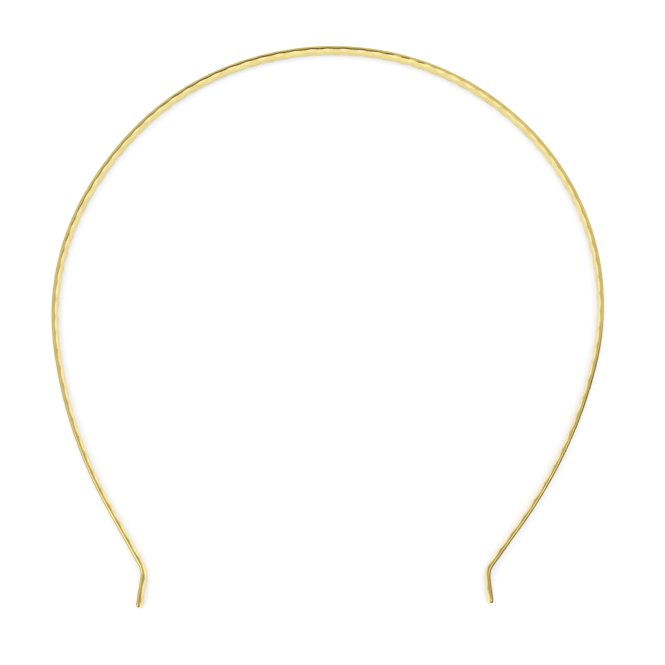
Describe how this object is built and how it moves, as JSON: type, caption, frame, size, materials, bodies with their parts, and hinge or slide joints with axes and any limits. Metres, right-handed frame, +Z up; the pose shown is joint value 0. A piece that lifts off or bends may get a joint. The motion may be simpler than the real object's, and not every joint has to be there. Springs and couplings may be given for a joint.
{
  "type": "tiara headband",
  "caption": "Thin gold-coloured metal headband: an open springy loop with straight arms, outturned tips and a row of raised diamonds along the inner face.",
  "frame": {"origin": "on the surface that the band's lower edge rests on, under the middle of the band's box", "axes": "+Z up, square to the plane of the loop; +Y towards the crown, away from the tips; +X to the right as seen from above"},
  "size_m": [0.1302, 0.145, 0.003],
  "materials": {
    "gold_plate": "polished gold-coloured plating on brass"
  },
  "bodies": {
    "root": {"band": "gold_plate"}
  },
  "joints": []
}
